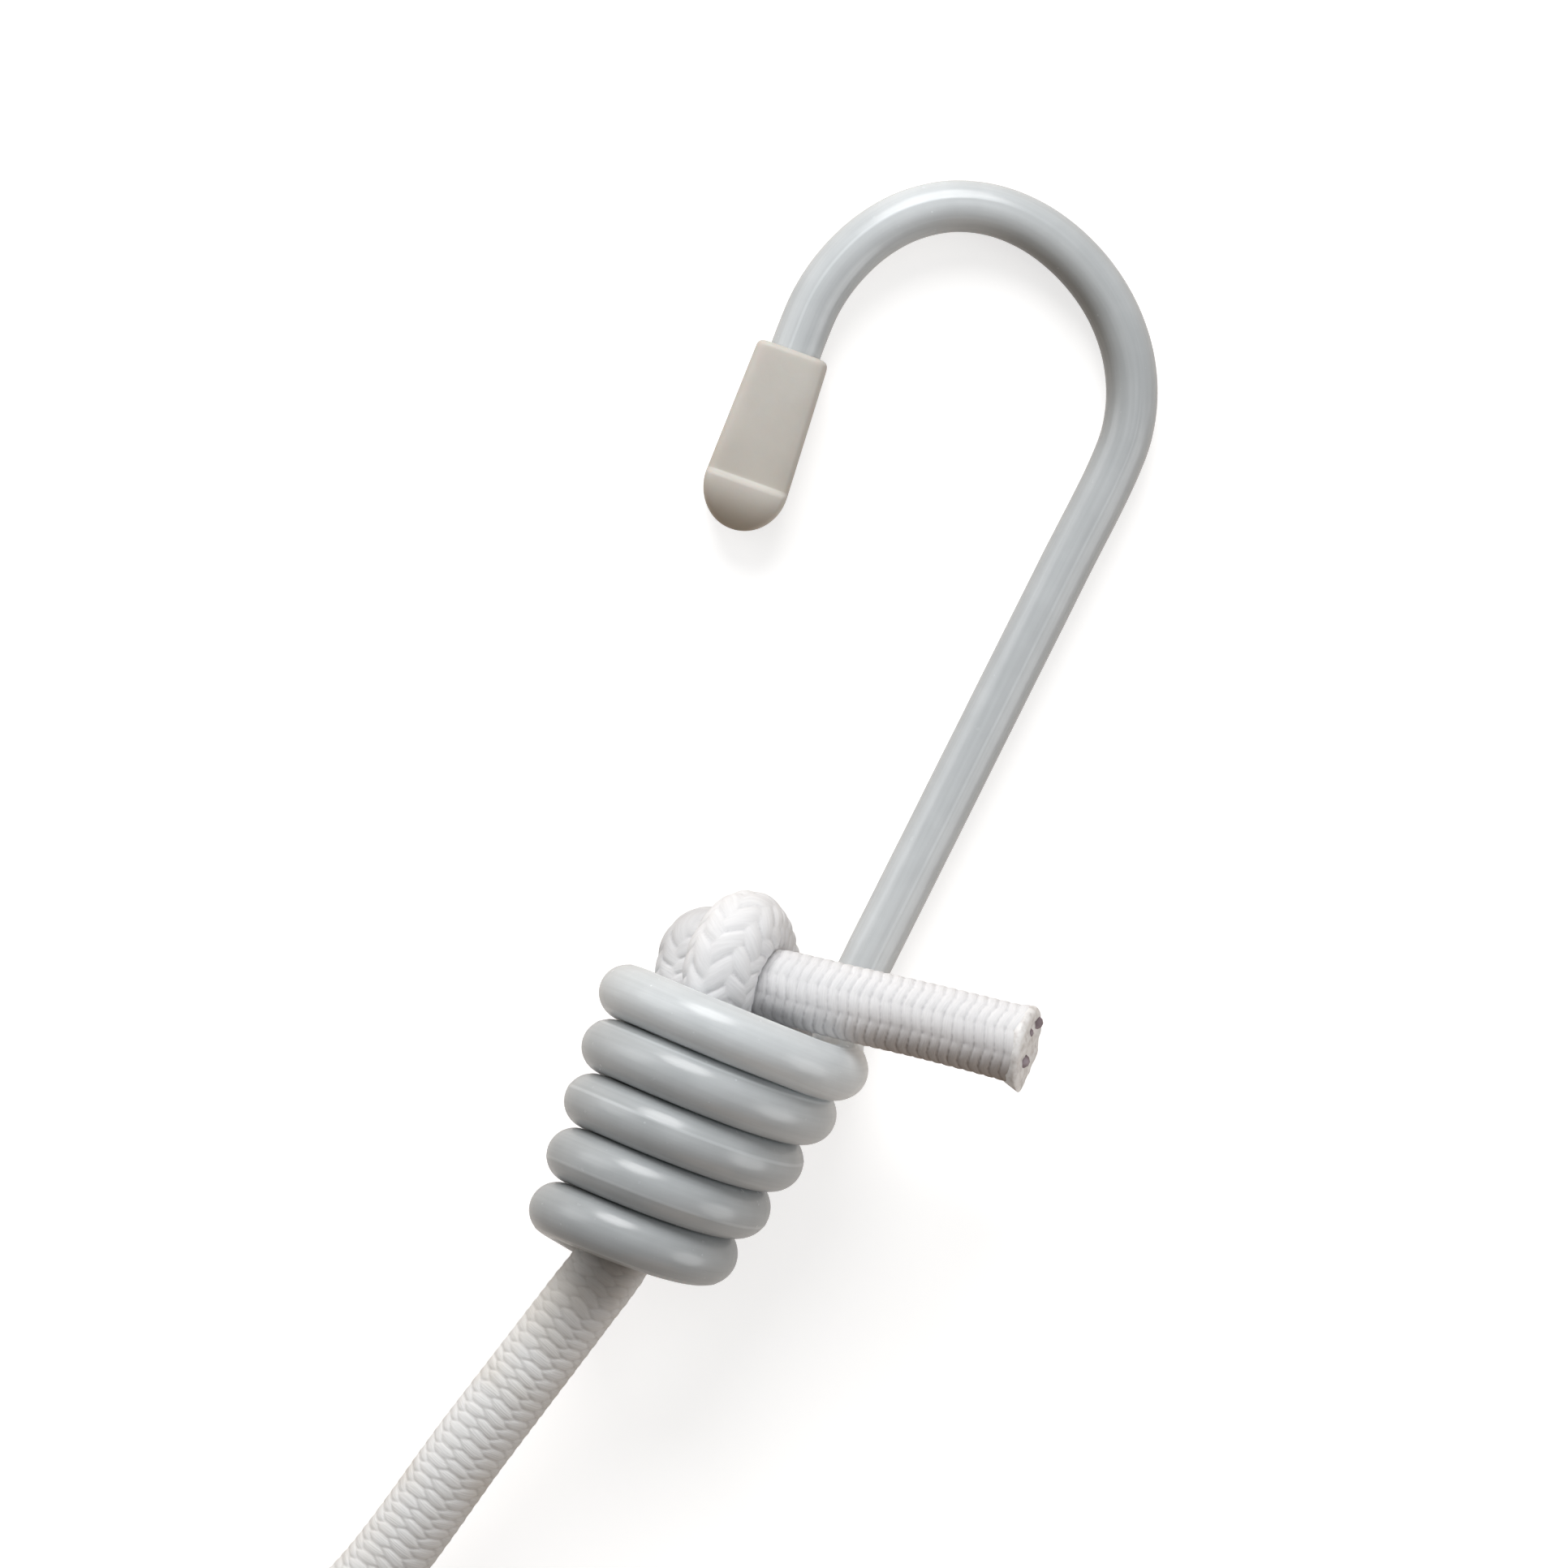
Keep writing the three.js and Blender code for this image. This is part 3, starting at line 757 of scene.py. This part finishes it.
def coating_tree():
    tree = Tree("coated_wire", {"Seam place": 0.0, "Seam width": 0.012, "Seam height": 0.00004,
                                "Unevenness": 0.00006, "Bend place": 0.388})
    tube = tree.tube(spacing=0.0006, sides=64)
    apart = tree.maths("SUBTRACT", tree.read("around"), tree.source["Seam place"])
    apart = tree.maths("PINGPONG", apart, 0.5)
    seam = tree.fade(tree.maths("DIVIDE", apart, tree.source["Seam width"]))
    # On the bend the seam fades out, and painted shade darkens the inside
    beyond = tree.maths("SUBTRACT", tree.read("along"), tree.source["Bend place"])
    on_bend = tree.fade(tree.maths("DIVIDE", beyond, bend_run))
    tube = tree.store(tube, "seam", tree.maths("MULTIPLY", seam, tree.maths("SUBTRACT", 1.0, on_bend)))
    aside = tree.maths("SUBTRACT", tree.read("around"), bend_shade_side)
    inside = tree.fade(tree.maths("DIVIDE", aside, bend_shade_width))
    tube = tree.store(tube, "painted_shade", tree.maths("MULTIPLY", on_bend, inside))
    position = tree.add("GeometryNodeInputPosition").outputs[0]
    waves = tree.add("ShaderNodeTexNoise", {"Vector": position, "Scale": 130.0, "Detail": 1.0}).outputs[0]
    uneven = tree.maths("MULTIPLY", tree.maths("SUBTRACT", waves, 0.5), tree.source["Unevenness"])
    ridge = tree.maths("MULTIPLY", tree.read("seam"), tree.source["Seam height"])
    return tree.finish(tree.raise_by(tube, tree.maths("ADD", uneven, ridge)), grey_coating)


def rounded_radii(route, radius):
    """The coating's radius at each point: round at both ends, and a little thicker on the coil."""
    radii = []
    total = route_length(route)
    travelled = 0
    for i, point in enumerate(route):
        if i:
            travelled += (point - route[i - 1]).length
        inset = max(0.0, 1 - min(travelled, total - travelled) / (end_run * radius))
        straight = min(max((travelled - coil_run) / turn_run, 0), 1)
        swell = 1 + coil_swell + (shank_swell - coil_swell) * straight
        radii.append(radius * swell * (end_share + (1 - end_share) * math.sqrt(1 - inset ** 2)))
    return radii


# Tip cap: a flat face that thins towards a ridge, and a rounded nose below it
cap_length = 0.0198
cap_mouth_half = 0.0039
cap_nose_half = 0.0045
cap_ridge = 0.0149  # distance of the ridge from the mouth
ridge_run = 0.0005
ridge_height = 0.0005
socket_depth = 0.0123
socket_shown = 0.004  # depth of the socket that is modelled round the coated tip
socket_clearance = 0.0001
face_fall = 0.0009  # the front face falls by this much from the mouth to the ridge
face_curve = 1.5  # powers by which the face falls, the ridge rises and the nose rounds off
ridge_curve = 1.6
nose_curve = 1.1
nose_end = 0.02  # the nose ends at this share of its size
lip_round = 0.0006  # rounding of the mouth's outer edge
nose_shade_at_ridge = 0.3  # how far the nose's painted shade has come in at the ridge
cap_shift = 0.0002  # the cap sits this much to one side of the wire


def cap_section(distance):
    """Half width, front and back of the cap at a distance from its mouth."""
    half = cap_thickness / 2
    to_ridge = min(distance / cap_ridge, 1)
    width = cap_mouth_half + (cap_nose_half - cap_mouth_half) * to_ridge
    front = half - face_fall * to_ridge ** face_curve
    rise = min(max((distance - cap_ridge) / ridge_run + 1, 0), 1)
    front += ridge_height * rise ** ridge_curve
    back = -half
    if distance > cap_ridge:
        nose = (distance - cap_ridge) / (cap_length - cap_ridge)
        shrink = math.sqrt(max(1 - nose ** 2, nose_end ** 2))
        width *= shrink
        front *= shrink ** nose_curve
        back *= shrink ** nose_curve
    lip = min(distance / lip_round, 1)
    inset = lip_round * (1 - math.sqrt(1 - (1 - lip) ** 2))
    return width - inset, front - inset, back + inset


def cap_mesh(place):
    """Sections lofted from the mouth to the nose, with a socket sunk in the mouth."""
    around = 64
    squareness = 0.36
    lip_steps, face_steps, ridge_steps, nose_steps = 5, 40, 8, 22
    step_foot = cap_ridge - ridge_run
    nose_run = cap_length - cap_ridge
    stations = [lip_round * (i / lip_steps) ** 2 for i in range(lip_steps)]
    stations += [lip_round + (step_foot - lip_round) * i / face_steps for i in range(face_steps)]
    stations += [step_foot + ridge_run * i / ridge_steps for i in range(ridge_steps)]
    quarters = [math.pi / 2 * i / nose_steps for i in range(nose_steps + 1)]
    stations += [cap_ridge + nose_run * math.sin(quarter) for quarter in quarters]
    mesh = bmesh.new()
    nose = mesh.verts.layers.float.new("nose")
    rings = []
    socket = wire_radius + socket_clearance
    for distance, radius in ((socket_shown, 0.0), (socket_shown, socket), (0.0, socket)):
        rings.append(cap_ring(mesh, place, distance, around, radius))
    for distance in stations:
        width, front, back = cap_section(distance)
        ring = []
        for i in range(around):
            angle = 2 * math.pi * i / around
            x = width * math.copysign(abs(math.cos(angle)) ** squareness, math.cos(angle))
            lift = math.copysign(abs(math.sin(angle)) ** squareness, math.sin(angle))
            z = (front + back) / 2 + (front - back) / 2 * lift
            corner = mesh.verts.new(place @ Vector((x, -distance, z)))
            # Share of painted shade at each point: full on the nose, coming in over the face towards the
            # ridge
            if distance > step_foot:
                corner[nose] = min(max((distance - cap_ridge) / nose_run, 0), 1)
            else:
                corner[nose] = nose_shade_at_ridge * (distance / cap_ridge) ** 2
            ring.append(corner)
        rings.append(ring)
    for ring, following in zip(rings, rings[1:]):
        for i in range(around):
            mesh.faces.new((ring[i], ring[(i + 1) % around], following[(i + 1) % around], following[i]))
    mesh.faces.new(rings[-1])
    bmesh.ops.remove_doubles(mesh, verts=mesh.verts, dist=1e-7)
    return finished_mesh("tip_cap", mesh, cap_plastic)


def cap_ring(mesh, place, distance, around, radius):
    """A ring of the socket."""
    ring = []
    for i in range(around):
        angle = 2 * math.pi * i / around
        corner = Vector((radius * math.cos(angle), -distance, radius * math.sin(angle)))
        ring.append(mesh.verts.new(place @ corner))
    return ring


def cap_place():
    """The cap's own frame: across, towards its mouth, and up."""
    start = bend_point(bend_angle, tip_length + meet_gap - socket_depth)
    lengthwise = (start - bend_point(bend_angle, tip_length)).normalized()
    crosswise = lengthwise.cross(Vector((0, 0, 1))).normalized()
    upright = crosswise.cross(lengthwise)
    place = Matrix((crosswise, lengthwise, upright)).transposed().to_4x4()
    place.translation = start - crosswise * cap_shift
    return place


# Knot and tail: across, along the hook, above the coil's axis, and radius
knot_route = [
    (0, -0.003, 0, 0.0035),
    (0, 0.004, 0, 0.0036),
    (0, 0.010, -0.0003, 0.0034),
    (0, 0.0155, -0.0012, 0.0030),
    (-0.0006, 0.0190, -0.0004, 0.0030),
    (-0.0016, 0.0222, 0.0024, 0.0034),
    (-0.0029, 0.0255, 0.0050, 0.0037),
    (-0.0040, 0.0292, 0.0058, 0.0039),
    (-0.0038, 0.0326, 0.0040, 0.0039),
    (-0.0028, 0.0333, 0.0004, 0.0038),
    (-0.0007, 0.0318, -0.0034, 0.0035),
    (0.0022, 0.0286, -0.0054, 0.0031),
    (0.0046, 0.0250, -0.0048, 0.0033),
    (0.0053, 0.0215, -0.0025, 0.0030),
    (0.0046, 0.0185, 0.0014, 0.0026),
    (0.0012, 0.0172, 0.0042, 0.0026),
    (-0.0034, 0.0180, 0.0036, 0.0027),
    (-0.0052, 0.0205, 0.0012, 0.0030),
    (-0.0063, 0.0252, -0.0008, 0.0035),
    (-0.0067, 0.0294, -0.0018, 0.0038),
    (-0.0041, 0.0306, -0.0016, 0.0036),
    (0, 0.0296, -0.0002, 0.0034),
    (0.0040, 0.0296, 0.0012, 0.0034),
]
tail_route = [
    (-0.0012, 0.0288, 0.0010, 0.0034),
    (0.0038, 0.0298, 0.0026, 0.0038),
    (0.0098, 0.0312, 0.0043, 0.00388),
    (0.0186, 0.0334, 0.0067, 0.00392),
    (0.0256, 0.0350, 0.0086, 0.0040),
    (0.0273, 0.0354, 0.0091, 0.0042),
]


def routed(rows, parts, place):
    """The smooth route and radii of rows that give a place and a radius."""
    route = curve_through([(x, y, axis_height + z) for x, y, z, radius in rows], parts)
    row_spacing = 0.002
    spaced = [(radius, i * row_spacing, 0) for i, (x, y, z, radius) in enumerate(rows)]
    radii = [point.x for point in curve_through(spaced, parts)]
    return [place @ point for point in route], radii


# Cut end of the tail: yarn melted to a lumpy face, with the ends of the rubber strands showing
rim_round = 0.0006  # the face stands this far out of the tail, with its rim melted round
rim_start = 0.78  # share of the radius where the rim starts to round off
lump_height = 0.0003
coarse_lumps = 650  # per metre
fine_lumps = 1700
fine_share = 0.5  # height of the fine lumps, as a share of the coarse ones
face_sink = 0.0012  # the face's back lies this far inside the tail
drop_place = math.pi  # the way round to the drop at the lower edge
drop_width = 0.55
drop_reach = 0.14  # how far the drop sticks out, as a share of the radius
drop_sink = 0.0006  # the drop reaches this much further back
drop_fill = 0.75  # share of the rim's rounding that the drop fills
bare_strands = ((0.61, -0.26), (0.34, 0.30), (-0.36, 0.24))  # down and up, as shares of the radius
strand_sink = 0.0002
points_back = 8  # the face looks the way that the tail's last points run


def face_frame(tip, before):
    """The cut face's own frame: down its width, up from the floor, and outwards along the tail."""
    out = (tip - before).normalized()
    upwards = (Vector((0, 0, 1)) - out * out.z).normalized()
    face = Matrix((upwards.cross(out), upwards, out)).transposed().to_4x4()
    face.translation = tip + out * rim_round
    return face


def cut_face_mesh(face, radius):
    """A disc with lumps, a rim melted round, and one drop of melted yarn at its lower edge."""
    rings = 14
    around = 72
    inner_share = 0.97
    mesh = bmesh.new()
    grid = []
    for i in range(1, rings + 2):
        share = math.sin(math.pi / 2 * min(i / rings, 1.0))
        rim = max(share - rim_start, 0) / (1 - rim_start)
        ring = []
        for j in range(around):
            angle = 2 * math.pi * j / around
            away = math.remainder(angle - drop_place, 2 * math.pi)
            drop = math.exp(-(away / drop_width) ** 2)
            reach = radius * (1 + drop_reach * drop)
            flat = Vector((math.cos(angle), math.sin(angle), 0)) * reach * share
            lump = noise.noise(flat * coarse_lumps) + fine_share * noise.noise(flat * fine_lumps)
            rounded = rim_round * (1 - drop_fill * drop) * (1 - math.sqrt(1 - rim ** 2))
            lift = lump_height * lump * (1 - share ** 6) - rounded
            if i > rings:
                flat = flat * radius * inner_share / reach
                lift = -face_sink - drop_sink * drop
            ring.append(mesh.verts.new(face @ (flat + Vector((0, 0, lift)))))
        grid.append(ring)
    middle = mesh.verts.new(face @ Vector((0, 0, 0)))
    for j in range(around):
        following = (j + 1) % around
        mesh.faces.new((middle, grid[0][j], grid[0][following]))
        for inner, outer in zip(grid, grid[1:]):
            mesh.faces.new((inner[j], outer[j], outer[following], inner[following]))
    mesh.faces.new(list(reversed(grid[-1])))
    return finished_mesh("cut_face", mesh, melted_yarn)


def strand_tree():
    tree = Tree("rubber_strand_ends", {"Strand radius": 0.0008, "Spread": 0.4, "Seed": 4})
    values = {"Radius": tree.source["Strand radius"], "Subdivisions": 2}
    ball = tree.add("GeometryNodeMeshIcoSphere", values).outputs[0]
    least = tree.maths("SUBTRACT", 1.0, tree.source["Spread"])
    values = {2: least, 3: 1.0, "Seed": tree.source["Seed"]}
    chance = tree.add("FunctionNodeRandomValue", values, data_type="FLOAT").outputs[1]
    values = {"Points": tree.source["Geometry"], "Instance": ball, "Scale": chance}
    return tree.finish(tree.add("GeometryNodeInstanceOnPoints", values).outputs[0], rubber)


def strand_points(face, radius):
    """Middles of the strands' ends that the melted yarn leaves bare."""
    return [face @ Vector((radius * down, radius * up, -strand_sink)) for down, up in bare_strands]


def add_end(letter, place):
    """Hook, cap, knot and tail at one end of the line."""
    route = curve_through(hook_points(), parts=8)
    dipped = run_tree(f"hook_{letter}_dipped_wire", wire_tree, [place @ p for p in route],
                      rounded_radii(route, wire_radius), {"Seam place": seam_place})
    cap = add_piece(f"hook_{letter}_moulded_cap", cap_mesh(place @ cap_place()))
    for piece, node, slot in ((dipped, "coating", "grey_coating"), (cap, "tip_cap", "tip_cap")):
        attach(piece, f"hook_{letter}")
        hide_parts(f"hook_{letter}_{node}")
    prefix = f"cord_{letter}_"
    knot = run_tree(prefix + "knot", knot_braid, *routed(knot_route, span_parts, place), knot_weave)
    tail_line, tail_radii = routed(tail_route, span_parts, place)
    tail = run_tree(prefix + "tail", tail_braid, tail_line, tail_radii, tail_weave)
    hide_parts(*[prefix + part for part in ("knot_sheath", "knot_core", "bore_sheath", "bore_core")])
    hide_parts(prefix + "tail_sheath")
    face = face_frame(tail_line[-1], tail_line[-points_back])
    cut_radius = tail_radii[-1]
    cut_face = add_piece(prefix + "cut_face", cut_face_mesh(face, cut_radius))
    strands = run_tree(prefix + "rubber_ends", rubber_ends, strand_points(face, cut_radius), None, {})
    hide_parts(prefix + "tail_core")
    for piece, slot in ((knot, "braided_sheath"), (tail, "braided_sheath"),
                        (cut_face, "braided_sheath"), (strands, "rubber_core")):
        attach(piece, f"end_{letter}")


wire_tree = coating_tree()
rubber_ends = strand_tree()
add_end("a", Matrix.Translation((0, hook_offset, 0)))
add_end("b", Matrix.Rotation(math.pi, 4, "Z") @ Matrix.Translation((0, hook_offset, 0)))

# Floor and light
floor_reach = 3
floor_drop = 0.0002  # the floor lies this far below the object's lowest points
glossy_share = 0.55  # how far the object's gloss shows the white background
floor_corners = [(floor_reach * x, floor_reach * y, 0) for x, y in ((-1, -1), (1, -1), (1, 1), (-1, 1))]
floor_mesh = bpy.data.meshes.new("floor")
floor_mesh.from_pydata(floor_corners, [], [(0, 1, 2, 3)])
floor = add_piece("floor", floor_mesh)
floor.location.z = -floor_drop


def shader_maths(tree, operation, a, b):
    return add_node(tree, "ShaderNodeMath", {0: a, 1: b}, operation=operation).outputs[0]


def background_share(tree):
    """How far a ray shows the white background: wholly to the camera, partly in the object's gloss."""
    path = add_node(tree, "ShaderNodeLightPath").outputs
    direct = shader_maths(tree, "MAXIMUM", path["Is Camera Ray"], path["Is Transmission Ray"])
    mirrored = shader_maths(tree, "MULTIPLY", path["Is Glossy Ray"], glossy_share)
    return shader_maths(tree, "MAXIMUM", direct, mirrored)


def floor_material():
    """White to the camera, with the shadow kept."""
    material, tree, shader = new_material("white_floor")
    shader.inputs["Roughness"].default_value = 1.0
    shader.inputs["Specular IOR Level"].default_value = 0.0
    seen = background_share(tree)
    tint = ramp_between(tree, seen, 0.0, (0.44, 0.34, 0.25), 1.0, (0.62, 0.61, 0.60))
    tree.links.new(tint, shader.inputs["Base Color"])
    away = add_node(tree, "ShaderNodeVectorMath", {0: object_place(tree)}, operation="LENGTH")
    values = {"Value": away.outputs["Value"], "From Min": 0.45, "From Max": 0.8,
              "To Min": 0.66, "To Max": 1.0}
    glow = add_node(tree, "ShaderNodeMapRange", values).outputs[0]
    shader.inputs["Emission Color"].default_value = (1, 1, 1, 1)
    tree.links.new(shader_maths(tree, "MULTIPLY", seen, glow), shader.inputs["Emission Strength"])
    return material


floor_mesh.materials.append(floor_material())

picture_up = Vector((-math.sin(view_turn), math.cos(view_turn), 0))
picture_right = Vector((math.cos(view_turn), math.sin(view_turn), 0))
subject = Vector((0, 0.19, 0.01))
light_reach = 1.6  # all lights stand back by this much, so that the far end is lit too


def add_light(name, right, up, height, size, power, colour=(1, 1, 1)):
    """A round soft light, placed from the subject by the picture's right and up, and turned to it."""
    light = bpy.data.lights.new(name, "AREA")
    light.shape = "DISK"
    light.size = size * light_reach
    light.energy = power * light_reach ** 2
    light.color = colour
    lamp = bpy.data.objects.new(name, light)
    offset = picture_right * right + picture_up * up + Vector((0, 0, height))
    lamp.location = subject + offset * light_reach
    lamp.rotation_euler = (-offset).to_track_quat("-Z", "Y").to_euler()
    bpy.context.scene.collection.objects.link(lamp)


add_light("key", right=-0.03, up=0.46, height=0.33, size=0.4, power=2.9)
add_light("front", right=0, up=0.12, height=0.7, size=0.5, power=0.4)
add_light("left", right=-0.43, up=0.25, height=0.17, size=0.4, power=0.8)
add_light("right", right=0.45, up=-0.22, height=0.2, size=0.4, power=1.1)
add_light("low", right=0, up=-0.5, height=0.12, size=0.4, power=0.17, colour=(1.0, 0.6, 0.3))

world = bpy.data.worlds.new("studio")
world.use_nodes = True
backdrop = world.node_tree.nodes["Background"]
backdrop.inputs["Color"].default_value = (1, 1, 1, 1)
dim_and_bright = {"Value": background_share(world.node_tree), "To Min": 0.1, "To Max": 1.0}
strength = add_node(world.node_tree, "ShaderNodeMapRange", dim_and_bright)
world.node_tree.links.new(strength.outputs[0], backdrop.inputs["Strength"])
bpy.context.scene.world = world
bpy.context.scene.view_settings.view_transform = "Standard"
